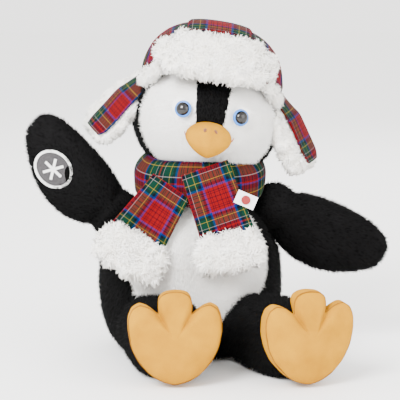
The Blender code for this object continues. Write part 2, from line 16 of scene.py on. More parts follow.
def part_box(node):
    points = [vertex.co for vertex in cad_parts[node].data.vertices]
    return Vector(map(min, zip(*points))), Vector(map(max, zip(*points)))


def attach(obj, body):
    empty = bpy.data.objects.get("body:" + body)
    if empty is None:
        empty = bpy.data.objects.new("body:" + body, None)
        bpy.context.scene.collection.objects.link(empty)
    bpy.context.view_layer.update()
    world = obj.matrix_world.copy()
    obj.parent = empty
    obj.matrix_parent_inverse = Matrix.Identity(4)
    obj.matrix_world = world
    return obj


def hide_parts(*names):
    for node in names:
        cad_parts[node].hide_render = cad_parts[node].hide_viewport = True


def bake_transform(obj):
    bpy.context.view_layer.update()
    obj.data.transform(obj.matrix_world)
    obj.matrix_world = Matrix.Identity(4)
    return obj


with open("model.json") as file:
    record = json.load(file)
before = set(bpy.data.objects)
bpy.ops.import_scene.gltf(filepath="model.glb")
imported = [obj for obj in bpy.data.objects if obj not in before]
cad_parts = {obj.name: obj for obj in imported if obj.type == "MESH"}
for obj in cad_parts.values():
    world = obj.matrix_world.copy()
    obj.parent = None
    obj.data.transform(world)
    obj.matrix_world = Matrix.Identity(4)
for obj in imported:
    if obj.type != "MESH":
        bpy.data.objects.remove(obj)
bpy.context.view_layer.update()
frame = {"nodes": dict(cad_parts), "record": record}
NODES = frame["nodes"]
JOINTS = {j["name"]: j for j in frame["record"]["behaviour"]["joints"]}
FLOOR_CLEAR = 0.0006     # the lowest point of any soft piece, over the floor

# ---- materials


def shader_of(name):
    """A new material, its nodes and links, and its shader."""
    made = bpy.data.materials.new(name)
    made.use_nodes = True
    return made, made.node_tree.nodes, made.node_tree.links, made.node_tree.nodes["Principled BSDF"]


def set_values(shader, **values):
    for key, value in values.items():
        name = {"base": "Base Color", "rough": "Roughness", "sheen": "Sheen Weight",
                "spec": "Specular IOR Level"}[key]
        if isinstance(value, tuple):
            value = (*value, 1)
        shader.inputs[name].default_value = value


def noise_node(nodes, scale, detail):
    made = nodes.new("ShaderNodeTexNoise")
    made.inputs["Scale"].default_value = scale
    made.inputs["Detail"].default_value = detail
    return made


def bump_node(nodes, strength, distance):
    made = nodes.new("ShaderNodeBump")
    made.inputs["Strength"].default_value = strength
    made.inputs["Distance"].default_value = distance
    return made


def mottled(name, dark, light, scale, bump=0.0, bump_scale=900.0, bump_distance=0.0004, **values):
    """Colour that drifts between two tones in space, with a fine bump."""
    made, nodes, links, shader = shader_of(name)
    set_values(shader, **values)
    where = nodes.new("ShaderNodeTexCoord")
    drift = noise_node(nodes, scale, 4)
    ramp = nodes.new("ShaderNodeValToRGB")
    ramp.color_ramp.elements[0].position = 0.32
    ramp.color_ramp.elements[1].position = 0.68
    ramp.color_ramp.elements[0].color = (*dark, 1)
    ramp.color_ramp.elements[1].color = (*light, 1)
    links.new(where.outputs["Object"], drift.inputs["Vector"])
    links.new(drift.outputs["Fac"], ramp.inputs["Fac"])
    links.new(ramp.outputs["Color"], shader.inputs["Base Color"])
    if bump:
        grain = noise_node(nodes, bump_scale, 3)
        lift = bump_node(nodes, bump, bump_distance)
        links.new(where.outputs["Object"], grain.inputs["Vector"])
        links.new(grain.outputs["Fac"], lift.inputs["Height"])
        links.new(lift.outputs["Normal"], shader.inputs["Normal"])
    return made


RED, GREEN, NAVY = (0.125, 0.0004, 0.0018), (0.0006, 0.020, 0.011), (0.0012, 0.002, 0.006)
BLUE, YELLOW, WHITE = (0.0006, 0.014, 0.095), (0.20, 0.145, 0.012), (0.16, 0.16, 0.15)
SETT_PERIOD = 0.058      # one repeat of the plaid
TWILL = 0.00045          # half of one diagonal line of the weave
# from the middle of the green square to the middle of the red one: where each colour starts
SETT = [(0.00, RED), (0.030, NAVY), (0.13, WHITE), (0.150, NAVY), (0.17, GREEN), (0.36, YELLOW),
        (0.380, GREEN), (0.46, NAVY), (0.55, BLUE), (0.62, RED), (0.71, NAVY), (0.735, RED),
        (0.78, NAVY), (0.80, RED), (0.90, NAVY), (0.93, RED)]


def math_node(nodes, operation, value=0.0):
    made = nodes.new("ShaderNodeMath")
    made.operation = operation
    made.inputs[1].default_value = value
    return made


def stripes(nodes, links, source):
    """The sett along one coordinate, in metres."""
    fold = math_node(nodes, "PINGPONG", SETT_PERIOD / 2)
    share = math_node(nodes, "DIVIDE", SETT_PERIOD / 2)
    ramp = nodes.new("ShaderNodeValToRGB")
    ramp.color_ramp.interpolation = "CONSTANT"
    stops = ramp.color_ramp.elements
    stops[0].position, stops[0].color = SETT[0][0], (*SETT[0][1], 1)
    stops[1].position, stops[1].color = SETT[1][0], (*SETT[1][1], 1)
    for place, colour in SETT[2:]:
        stops.new(place).color = (*colour, 1)
    links.new(source, fold.inputs[0])
    links.new(fold.outputs[0], share.inputs[0])
    links.new(share.outputs[0], ramp.inputs["Fac"])
    return ramp.outputs["Color"]


def tartan_material():
    """Woven plaid: warp and weft stripes that cross in a fine twill."""
    made, nodes, links, shader = shader_of("tartan_cloth")
    set_values(shader, rough=0.9, sheen=0.0, spec=0.08)
    uv = nodes.new("ShaderNodeUVMap")
    uv.uv_map = "weave"
    split = nodes.new("ShaderNodeSeparateXYZ")
    links.new(uv.outputs["UV"], split.inputs["Vector"])
    warp = stripes(nodes, links, split.outputs["X"])
    weft = stripes(nodes, links, split.outputs["Y"])
    slope = math_node(nodes, "ADD")
    links.new(split.outputs["X"], slope.inputs[0])
    links.new(split.outputs["Y"], slope.inputs[1])
    twill = math_node(nodes, "PINGPONG", TWILL)
    links.new(slope.outputs[0], twill.inputs[0])
    over = nodes.new("ShaderNodeMapRange")
    over.inputs["From Max"].default_value = TWILL
    over.inputs["To Min"].default_value = 0.2
    over.inputs["To Max"].default_value = 0.8
    links.new(twill.outputs[0], over.inputs["Value"])
    mix = nodes.new("ShaderNodeMix")
    mix.data_type = "RGBA"
    links.new(over.outputs["Result"], mix.inputs["Factor"])
    links.new(warp, mix.inputs["A"])
    links.new(weft, mix.inputs["B"])
    links.new(mix.outputs["Result"], shader.inputs["Base Color"])
    lift = bump_node(nodes, 0.35, 0.0003)
    links.new(over.outputs["Result"], lift.inputs["Height"])
    links.new(lift.outputs["Normal"], shader.inputs["Normal"])
    return made


MAT = {
    "black_fur": mottled("black_pile", (0.0007, 0.0007, 0.0008), (0.0022, 0.0022, 0.0024), 60,
                         rough=0.7, spec=0.10),
    "black_skin": mottled("black_backing", (0.0006, 0.0006, 0.0006), (0.0015, 0.0015, 0.0015),
                          80, bump=0.4, rough=0.95, spec=0.05),
    "white_fur": mottled("white_pile", (0.88, 0.86, 0.82), (0.95, 0.94, 0.915), 50,
                         rough=0.8, sheen=0.25, spec=0.2),
    "face_fur": mottled("face_pile", (0.955, 0.935, 0.895), (0.98, 0.97, 0.945), 50,
                        rough=0.8, sheen=0.25, spec=0.2),
    "white_skin": mottled("white_backing", (0.86, 0.84, 0.80), (0.92, 0.90, 0.87), 60,
                          bump=0.4, rough=0.95, spec=0.1),
    "fleece": mottled("sherpa_curls", (0.93, 0.895, 0.83), (0.97, 0.955, 0.92), 90,
                      rough=0.9, sheen=0.2, spec=0.15),
    "fleece_skin": mottled("sherpa_backing", (0.84, 0.79, 0.70), (0.90, 0.87, 0.81), 120,
                           bump=0.5, bump_scale=500, rough=0.95, spec=0.1),
    "gold": mottled("golden_plush", (0.36, 0.155, 0.0006), (0.46, 0.21, 0.001), 45, bump=0.7,
                    bump_scale=1500, bump_distance=0.0005, rough=0.85, spec=0.08),
    "gold_dark": mottled("golden_seam", (0.20, 0.075, 0.002), (0.25, 0.10, 0.003), 200,
                         rough=0.85, spec=0.15),
    "thread": mottled("brown_thread", (0.12, 0.030, 0.002), (0.17, 0.045, 0.003), 700, bump=0.6,
                      bump_scale=2500, rough=0.6, sheen=0.2),
    "smile": mottled("red_thread", (0.30, 0.07, 0.02), (0.40, 0.11, 0.03), 700, rough=0.6),
    "eye_blue": mottled("eye_ring", (0.025, 0.15, 0.52), (0.045, 0.20, 0.60), 150, rough=0.25,
                        spec=0.3),
    "eye_black": mottled("eye_dome", (0.002, 0.002, 0.002), (0.006, 0.005, 0.005), 300,
                         rough=0.06, spec=0.5),
    "grey": mottled("patch_grey", (0.022, 0.020, 0.022), (0.040, 0.037, 0.040), 500, bump=0.8,
                    bump_scale=2200, rough=0.8, sheen=0.2),
    "embroidery": mottled("patch_thread", (0.70, 0.70, 0.68), (0.86, 0.86, 0.84), 900, bump=0.9,
                          bump_scale=2600, rough=0.6, sheen=0.2),
    "label": mottled("ribbon_white", (0.84, 0.84, 0.83), (0.90, 0.90, 0.90), 300, bump=0.3,
                     bump_scale=2500, rough=0.5),
    "label_red": mottled("ribbon_red", (0.20, 0.001, 0.003), (0.26, 0.002, 0.004), 400, bump=0.4,
                         bump_scale=2500, rough=0.55),
    "filling": mottled("filling", (0.82, 0.82, 0.81), (0.9, 0.9, 0.9), 100, rough=0.95),
    "tartan": tartan_material(),
}

# ---- mesh helpers


def link(name, mesh, material=None, smooth=True):
    made = bpy.data.objects.new(name, mesh)
    bpy.context.scene.collection.objects.link(made)
    if material:
        mesh.materials.clear()
        mesh.materials.append(MAT[material])
    if smooth and len(mesh.polygons):
        mesh.polygons.foreach_set("use_smooth", np.ones(len(mesh.polygons), bool))
    return made


def refinish(piece, material):
    """The piece's mesh gets this one material."""
    piece.data.materials.clear()
    piece.data.materials.append(MAT[material])


def mesh_of(name, bm):
    mesh = bpy.data.meshes.new(name)
    bm.to_mesh(mesh)
    bm.free()
    return mesh


def built(name, bm, material):
    """A piece from a finished bmesh, with its normals out."""
    bmesh.ops.recalc_face_normals(bm, faces=bm.faces)
    return link(name, mesh_of(name, bm), material)


def carried(piece, body):
    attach(piece, body)


def applied(piece):
    """The piece's modifiers, applied."""
    bpy.context.view_layer.update()
    done = bpy.data.meshes.new_from_object(piece.evaluated_get(
        bpy.context.evaluated_depsgraph_get()), preserve_all_data_layers=True,
        depsgraph=bpy.context.evaluated_depsgraph_get())
    piece.modifiers.clear()
    piece.data = done
    return piece


def points_of(mesh):
    flat = np.empty(len(mesh.vertices) * 3)
    mesh.vertices.foreach_get("co", flat)
    return flat.reshape(-1, 3)


def normals_of(mesh):
    flat = np.empty(len(mesh.vertices) * 3)
    mesh.vertices.foreach_get("normal", flat)
    return flat.reshape(-1, 3)


def box_of(node):
    """The CAD node's low and high corners."""
    low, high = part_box(node)
    return Vector(low), Vector(high)


def set_points(mesh, points):
    mesh.vertices.foreach_set("co", np.ascontiguousarray(points, np.float32).ravel())
    mesh.update()


def node_points(*names):
    return np.concatenate([points_of(NODES[n].data) for n in names])


def extent(matrix, *names):
    """The nodes' low and high corners in a local frame."""
    turn = np.array(matrix.inverted())
    local = node_points(*names) @ turn[:3, :3].T + turn[:3, 3]
    return Vector(local.min(0)), Vector(local.max(0))


def frame_of(origin, x, y):
    """A frame at origin whose first axis is x and whose second is close to y."""
    x = Vector(x).normalized()
    z = x.cross(Vector(y)).normalized()
    made = Matrix((x, z.cross(x), z)).transposed().to_4x4()
    made.translation = origin
    return made


def unit_ball():
    """The points and faces of a ball of radius 1, which blob() copies."""
    bm = bmesh.new()
    bmesh.ops.create_icosphere(bm, subdivisions=3, radius=1)
    mesh = mesh_of("unit_ball", bm)
    return points_of(mesh), np.array([tuple(face.vertices) for face in mesh.polygons])


UNIT_BALL = unit_ball()


def blob(name, material, nodes=(), balls=(), voxel=0.0035, smooth=8):
    """One smooth skin around CAD nodes and (matrix, radii) balls."""
    points, faces, count = [], [], 0
    for n in nodes:
        points.append(points_of(NODES[n].data))
        faces += [[i + count for i in face.vertices] for face in NODES[n].data.polygons]
        count += len(points[-1])
    for matrix, radii in balls:
        turn = np.array(matrix @ Matrix.Diagonal((*radii, 1)))
        points.append(UNIT_BALL[0] @ turn[:3, :3].T + turn[:3, 3])
        faces += (UNIT_BALL[1] + count).tolist()
        count += len(UNIT_BALL[0])
    mesh = bpy.data.meshes.new(name)
    mesh.from_pydata(np.concatenate(points).tolist(), [], faces)
    piece = link(name, mesh)
    remesh = piece.modifiers.new("remesh", "REMESH")
    remesh.mode = "VOXEL"
    remesh.voxel_size = voxel
    even = piece.modifiers.new("even", "SMOOTH")
    even.factor = 0.5
    even.iterations = smooth
    applied(piece)
    refinish(piece, material)
    piece.data.polygons.foreach_set("use_smooth", np.ones(len(piece.data.polygons), bool))
    return piece


def painted(piece, material, where):
    """A second material on the faces whose middles the test picks."""
    mesh = piece.data
    mesh.materials.append(MAT[material])
    middles = np.empty(len(mesh.polygons) * 3)
    mesh.polygons.foreach_get("center", middles)
    mesh.polygons.foreach_set("material_index", where(middles.reshape(-1, 3)).astype(np.int32))
    mesh.update()


def subdivided(piece, levels=1):
    finer = piece.modifiers.new("finer", "SUBSURF")
    finer.levels = finer.render_levels = levels
    return applied(piece)


CLOTH_STEPS = 15


def puffed(piece, pressure, cap):
    """The padded look: the closed skin swells under pressure as cloth, no further than cap."""
    scene = bpy.context.scene
    before = points_of(piece.data)
    cloth = piece.modifiers.new("cloth", "CLOTH")
    cloth.settings.use_pressure = True
    cloth.settings.uniform_pressure_force = pressure
    cloth.settings.effector_weights.gravity = 0
    cloth.settings.quality = 4
    for step in range(1, CLOTH_STEPS + 1):
        scene.frame_set(step)
    applied(piece)
    scene.frame_set(1)
    moved = points_of(piece.data) - before
    length = np.linalg.norm(moved, axis=1, keepdims=True)
    moved *= np.minimum(1, cap / np.maximum(length, 1e-9))
    set_points(piece.data, before + moved)
    return piece


def evened(piece, iterations):
    even = piece.modifiers.new("even", "SMOOTH")
    even.iterations = iterations
    return applied(piece)


def on_floor(piece):
    """No point of the piece is under the floor."""
    points = points_of(piece.data)
    points[:, 2] = np.maximum(points[:, 2], FLOOR_CLEAR)
    set_points(piece.data, points)
    return piece


def tube(name, material, points, radius, closed=True, sides=6):
    """A thread or a cord along points."""
    bm = bmesh.new()
    count = len(points)
    rings = []
    for i, p in enumerate(points):
        after = points[(i + 1) % count] if closed else points[min(i + 1, count - 1)]
        ahead = (after - points[i - 1 if closed or i else 0]).normalized()
        side = ahead.orthogonal().normalized() if i == 0 else (side - ahead * side.dot(ahead))
        side = side.normalized()
        up = ahead.cross(side)
        rings.append([bm.verts.new(p + radius * (side * math.cos(math.tau * k / sides)
                                                 + up * math.sin(math.tau * k / sides)))
                      for k in range(sides)])
    pairs = list(zip(rings, rings[1:] + rings[:1])) if closed else list(zip(rings, rings[1:]))
    for a, b in pairs:
        for k in range(sides):
            m = (k + 1) % sides
            bm.faces.new((a[k], a[m], b[m], b[k]))
    if not closed:
        bm.faces.new(rings[0][::-1])
        bm.faces.new(rings[-1])
    return built(name, bm, material)


def raw_mesh(name, points, triangles):
    mesh = bpy.data.meshes.new(name)
    mesh.vertices.add(len(points))
    mesh.vertices.foreach_set("co", points.astype(np.float32).ravel())
    mesh.loops.add(len(triangles) * 3)
    mesh.loops.foreach_set("vertex_index", triangles.astype(np.int32).ravel())
    mesh.polygons.add(len(triangles))
    mesh.polygons.foreach_set("loop_start", np.arange(0, len(triangles) * 3, 3, dtype=np.int32))
    mesh.update()
    mesh.validate()
    return mesh


def grid(name, material, shape, nu, nv, size, thick=0.0012, closed=False):
    """A cloth of shape(u, v), with its weave laid out in metres."""
    bm = bmesh.new()
    around = nu if closed else nu + 1
    rows = [[bm.verts.new(shape(i / nu, j / nv)) for i in range(around)] for j in range(nv + 1)]
    weave = bm.loops.layers.uv.new("weave")
    for j in range(nv):
        for i in range(nu):
            k = (i + 1) % around
            face = bm.faces.new((rows[j][i], rows[j][k], rows[j + 1][k], rows[j + 1][i]))
            corners = ((i, j), (i + 1, j), (i + 1, j + 1), (i, j + 1))
            for loop, (a, b) in zip(face.loops, corners):
                loop[weave].uv = (a / nu * size[0], b / nv * size[1])
    piece = link(name, mesh_of(name, bm), material)
    if thick:
        solid = piece.modifiers.new("thick", "SOLIDIFY")
        solid.thickness = thick
        solid.offset = 0
    return applied(piece)


def sewn_domes(name, point, angles, rings_in, seam_face, material):
    """Two domed panels of point(angle, share, face), sewn along seam_face's outline."""
    bm = bmesh.new()
    count = len(angles)
    seam = [bm.verts.new(point(a, 1, seam_face)) for a in angles]
    for face in (1, -1):
        rings = [seam]
        for j in range(1, rings_in):
            share = math.cos(j / rings_in * math.pi / 2) ** 0.8
            rings.append([bm.verts.new(point(a, share, face)) for a in angles])
        middle = bm.verts.new(point(0, 0, face))
        for outer, inner in zip(rings, rings[1:]):
            for i in range(count):
                k = (i + 1) % count
                bm.faces.new((outer[i], outer[k], inner[k], inner[i])[::face])
        for i in range(count):
            bm.faces.new((rings[-1][i], rings[-1][(i + 1) % count], middle)[::face])
    return built(name, bm, material)


# ---- strands of fur and fleece


def rooted(skin, per_mm2, rng):
    """Random points all over a skin, with the skin's normals there."""
    mesh = skin.data
    mesh.calc_loop_triangles()
    tris = np.empty(len(mesh.loop_triangles) * 3, np.int32)
    mesh.loop_triangles.foreach_get("vertices", tris)
    tris = tris.reshape(-1, 3)
    co = points_of(mesh)
    normal = normals_of(mesh)
    a, b, c = co[tris[:, 0]], co[tris[:, 1]], co[tris[:, 2]]
    area = np.linalg.norm(np.cross(b - a, c - a), axis=1) / 2
    count = int(area.sum() * 1e6 * per_mm2)
    corners = tris[rng.choice(len(tris), count, p=area / area.sum())]
    r1, r2 = np.sqrt(rng.random(count))[:, None], rng.random(count)[:, None]
    weights = (1 - r1, r1 * (1 - r2), r1 * r2)
    root = sum(w * co[corners[:, k]] for k, w in enumerate(weights))
    up = sum(w * normal[corners[:, k]] for k, w in enumerate(weights))
    return root, up / np.linalg.norm(up, axis=1, keepdims=True)


def strands(name, skin, material, per_mm2, length, width, seed, comb=(0, 0, -1), lean=0.6,
            jitter=0.35, curl=0.0, turns=1.0, steps=1, keep=None, soft=0.6, spread=0.25,
            clump=0.0):
    """Tapered three-sided strands rooted all over a skin, leaning the way comb points."""
    rng = np.random.default_rng(seed)
    root, up = rooted(skin, per_mm2, rng)
    if keep is not None:
        mask = keep(root)
        root, up = root[mask], up[mask]
    count = len(root)
    comb = np.broadcast_to(np.array(comb(root) if callable(comb) else comb, float), root.shape)
    along = comb - (comb * up).sum(1, keepdims=True) * up
    along = along * lean + rng.normal(0, jitter, root.shape)
    if clump:
        along += clump * np.sin(root[:, [1, 2, 0]] * 430 + 2 * np.sin(root[:, [2, 0, 1]] * 270))
    way = up + along
    way /= np.linalg.norm(way, axis=1, keepdims=True)
    size = length * (1 + spread * rng.normal(0, 1, (count, 1)).clip(-2, 1.5))
    side = np.cross(way, rng.normal(0, 1, root.shape))
    side /= np.linalg.norm(side, axis=1, keepdims=True)
    other = np.cross(way, side)
    phase = rng.random((count, 1)) * math.tau
    bend = along - (along * way).sum(1, keepdims=True) * way
    rings, shades = [], []
    for i in range(steps + 1):
        t = i / steps
        turn = phase + t * turns * math.tau
        at = root - up * 0.0004 + size * t * way + size * 0.3 * t * t * bend
        at = at + curl * (np.cos(turn) * side + np.sin(turn) * other) * (0.3 + 0.7 * t)
        if i == steps:
            rings.append(at)
            shades.append(soft * up + (1 - soft) * way)
            continue
        half = width / 2 * (1 - 0.5 * t)
        for k in range(3):
            out = math.cos(math.tau * k / 3) * side + math.sin(math.tau * k / 3) * other
            rings.append(at + out * half)
            shades.append(soft * up + (1 - soft) * out)
    per = 3 * steps + 1
    points = np.stack(rings, 1).reshape(-1, 3)
    points[:, 2] = np.maximum(points[:, 2], FLOOR_CLEAR)
    one = []
    for i in range(steps - 1):
        for k in range(3):
            p, q = 3 * i + k, 3 * i + (k + 1) % 3
            one += [(p, q, q + 3), (p, q + 3, p + 3)]
    one += [(3 * (steps - 1) + k, 3 * (steps - 1) + (k + 1) % 3, per - 1) for k in range(3)]
    triangles = (np.arange(count)[:, None, None] * per + np.array(one)[None]).reshape(-1, 3)
    made = raw_mesh(name, points, triangles)
    piece = link(name, made, material)
    shade = np.stack(shades, 1).reshape(-1, 3)
    shade /= np.linalg.norm(shade, axis=1, keepdims=True)
    made.normals_split_custom_set_from_vertices(shade.tolist())
    flat = np.repeat(root - root.mean(0), per, 0)
    angle = np.arctan2(flat[:, 1], flat[:, 0]) / math.tau + 0.5
    tall = (points[:, 2] - points[:, 2].min()) / max(np.ptp(points[:, 2]), 1e-6)
    shift = np.tile(np.linspace(0, 0.004, per), count)
    uv = np.stack([(angle + shift) * 0.98 + 0.01, tall * 0.98 + 0.01], 1)[triangles.ravel()]
    made.uv_layers.new(name="OFBake").data.foreach_set("uv", uv.astype(np.float32).ravel())
    return piece


def tufted(piece, depth, scale, seed):
    """Fleece clumps: the skin pushed out by a cell pattern."""
    mesh = piece.data
    points = points_of(mesh)
    shift = Vector((seed * 3.1, seed * 1.7, seed * 0.9))
    lift = np.array([noise.noise(Vector(p) * scale + shift) for p in points])
    set_points(mesh, points + normals_of(mesh) * (lift * depth)[:, None])
    return piece


# ---- frames of the parts
UP = Vector(JOINTS["hat_lift"]["axis"])
head_low, head_high = box_of("head_stuffing")
HEAD = frame_of((head_low + head_high) / 2, (UP.z, 0, -UP.x), (0, 1, 0))
nose_low, nose_high = box_of("beak_upper")
NOSE = (nose_low + nose_high) / 2
toward = HEAD.inverted() @ NOSE
FACE_TURN = math.atan2(toward.x, -toward.y)
FACE = HEAD @ Matrix.Rotation(FACE_TURN, 4, "Z")
BODY_LOW, BODY_HIGH = box_of("body_stuffing")
BODY_MIDDLE = (BODY_LOW + BODY_HIGH) / 2


def local(matrix, points):
    """The points as the frame sees them."""
    turn = np.array(matrix.inverted())
    return points @ turn[:3, :3].T + turn[:3, 3]


belly_low, belly_high = box_of("belly_panel")
BELLY_MIDDLE = (belly_low + belly_high) / 2
BELLY_HALF = (belly_high - belly_low) / 2


def on_belly(points):
    """Which points are inside the white oval in front."""
    across = (points[:, 0] - BELLY_MIDDLE.x) / BELLY_HALF.x
    tall = (points[:, 2] - BELLY_MIDDLE.z) / BELLY_HALF.z
    return (across ** 2 + tall ** 2 < 1) & (points[:, 1] < 0)


# ---- torso
NECK_RADII = (0.048, 0.044, 0.024)
BODY_PRESSURE = 4        # of the stuffing in the body, the head and the limbs
BLACK_WIDTH, WHITE_WIDTH = 0.0011, 0.0009     # of one strand of pile at its root


def build_torso():
    nodes = ("back_left_panel", "back_right_panel", "belly_panel", "seat_panel", "body_stuffing")
    neck = Matrix.Translation((BODY_MIDDLE.x + 0.004, -0.004, BODY_HIGH.z - 0.012))
    skin = blob("torso_skin", "black_skin", nodes, [(neck, NECK_RADII)], voxel=0.0045, smooth=16)
    puffed(skin, BODY_PRESSURE, cap=0.003)
    on_floor(skin)
    carried(skin, "torso")
    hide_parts(*nodes)
    painted(skin, "white_skin", on_belly)
    black = strands("torso_fur_black", skin, "black_fur", per_mm2=0.80, length=0.0052,
                    width=BLACK_WIDTH, seed=11, lean=1.0,
                    keep=lambda p: ~on_belly(p) & (p[:, 2] > 0.002))
    white = strands("torso_fur_white", skin, "white_fur", per_mm2=1.7, length=0.0048,
                    width=WHITE_WIDTH, seed=12, lean=1.0, keep=on_belly)
    for fur, slot in ((black, "black_fur"), (white, "white_fur")):
        carried(fur, "torso")


# ---- head
EYE_RADIUS, PUPIL_RADIUS = 0.0082, 0.0064
RING_HALF, RING_ROUND = 0.0016, 0.0014       # the blue disc's half thickness and its rim's round
RING_OUT = 0.0030        # the blue disc stands this far out of its CAD node
DOME_BACK, DOME_FOOT, DOME_RISE = 0.0006, 0.0012, 0.0046
EYE_CLEAR = 0.0096       # no pile is rooted this close to an eye's middle
EYE_CLEAR_UP = 0.0012    # that clearing is centred this far over it


def face_spot(node):
    """The node's middle and its axis, out of the face."""
    points = node_points(node)
    middle = points.mean(0)
    axis = np.linalg.svd(points - middle, full_matrices=False)[2][2]
    out = Vector(axis) * (1 if Vector(axis).dot(Vector(middle) - HEAD.translation) > 0 else -1)
    return Vector(middle), out.normalized()


def lathe(name, material, profile, matrix, steps=48):
    """A turned piece from a profile of (radius, height) points."""
    bm = bmesh.new()
    rings = [[bm.verts.new((r * math.cos(math.tau * i / steps), r * math.sin(math.tau * i / steps), z))
              for i in range(steps)] if r > 1e-6 else [bm.verts.new((0, 0, z))] for r, z in profile]
    for low, high in zip(rings, rings[1:]):
        for i in range(steps):
            k = (i + 1) % steps
            corners = [low[i % len(low)], low[k % len(low)], high[k % len(high)], high[i % len(high)]]
            bm.faces.new(list(dict.fromkeys(corners)))
    piece = built(name, bm, material)
    piece.matrix_world = matrix
    return piece


def upright(middle, out):
    """A frame whose third axis is out, and whose first axis is level."""
    level = Vector((0, 0, 1)).cross(out)
    return frame_of(middle, level, out.cross(level))


def build_eyes():
    turns = [math.radians(d) for d in range(-75, 76, 15)]
    rim = [(EYE_RADIUS - RING_ROUND + RING_ROUND * math.cos(a), RING_HALF * math.sin(a))
           for a in turns]
    rises = [math.radians(d) for d in range(0, 91, 9)]
    dome = [(PUPIL_RADIUS * math.cos(a), DOME_FOOT + DOME_RISE * math.sin(a)) for a in rises]
    for side in ("left", "right"):
        middle, out = face_spot(f"{side}_eye_disc")
        at = upright(middle + out * RING_OUT, out)
        disc = lathe(f"{side}_eye_ring", "eye_blue", [(0, -RING_HALF), *rim, (0, RING_HALF)], at)
        pupil = lathe(f"{side}_eye_dome", "eye_black",
                      [(0, DOME_BACK), (PUPIL_RADIUS, DOME_BACK), *dome], at)
        for piece, slot, node in ((disc, "eye_blue", "disc"), (pupil, "eye_black", "pupil")):
            carried(piece, "head")
            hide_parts(f"{side}_eye_{node}")


# ---- beak
BEAK_AROUND, BEAK_RINGS = 96, 18
BEAK_DROOP = 0.0062      # of the beak's tip
BEAK_RIDGE = 0.0012      # the low ridge down its middle
NOSTRIL_DOWN = 0.0035    # from the CAD nostrils, which are nearer the beak's top edge
NOSTRIL = [(0, 0.0010), (0.0012, 0.0008), (0.0020, 0), (0.0012, -0.0005), (0, -0.0006)]


def surface_spot(piece, start, way):
    """Where a ray meets a piece, and the piece's normal there."""
    tree = BVHTree.FromPolygons([v.co for v in piece.data.vertices],
                                [tuple(f.vertices) for f in piece.data.polygons])
    spot, normal, _, _ = tree.ray_cast(start, way)
    return spot, normal


def build_beak():
    """A soft rounded rhombus whose tip comes forward and down, with a low ridge over it."""
    low, high = extent(FACE, "beak_upper", "beak_lower")
    middle = (low + high) / 2
    wide, up, down = high.x - 0.0004, (high.z - low.z) * 0.475, (high.z - low.z) * 0.54
    back = high.y - middle.y
    seat = middle.y + back * 0.3

    def point(angle, share, face):
        x, z = math.sin(angle), math.cos(angle)
        tall = up if z > 0 else down
        power = 2.1 if z > 0 else 1.5
        reach = (abs(x / wide) ** power + abs(z / tall) ** power) ** (-1 / power)
        dome = max(0.0, 1 - share ** 2.1) ** (1 / 1.9)
        depth = seat - low.y if face < 0 else back * 0.8
        ridge = BEAK_RIDGE * math.exp(-(x * share * 5) ** 2) * max(0.0, z + 0.4) * dome
        y = seat + face * (depth * dome + ridge)
        drop = BEAK_DROOP * dome ** 1.5 if face < 0 else 0
        return FACE @ Vector((middle.x + x * reach * share, y, middle.z + z * reach * share - drop))
    angles = [math.tau * i / BEAK_AROUND for i in range(BEAK_AROUND)]
    beak = sewn_domes("beak_plush", point, angles, BEAK_RINGS, 1, "gold")
    evened(beak, 2)
    carried(beak, "head")
    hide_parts("beak_upper", "beak_lower")
    into = FACE.to_3x3() @ Vector((0, 1, -0.15))
    for side in ("left", "right"):
        near = FACE.inverted() @ Vector(node_points(f"{side}_nostril").mean(0))
        at = FACE @ Vector((near.x * 0.95, low.y, near.z - NOSTRIL_DOWN)) - into * 0.03
        spot, normal = surface_spot(beak, at, into.normalized())
        tall = upright(spot, normal) @ Matrix.Diagonal((0.75, 1.25, 1, 1))
        stitch = lathe(f"{side}_nostril_thread", "thread", NOSTRIL, tall, 20)
        carried(stitch, "head")
        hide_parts(f"{side}_nostril")
    for side, sign in (("left", 1), ("right", -1)):
        corner = [FACE @ Vector((middle.x + sign * (wide - 0.0004 + 0.0016 * t),
                                 seat - 0.0035 - 0.001 * t, middle.z + 0.0008 + 0.0034 * t * t))
                  for t in [i / 8 for i in range(9)]]
        smile = tube(f"{side}_smile_stitch", "smile", corner, 0.0005, closed=False)
        carried(smile, "head")


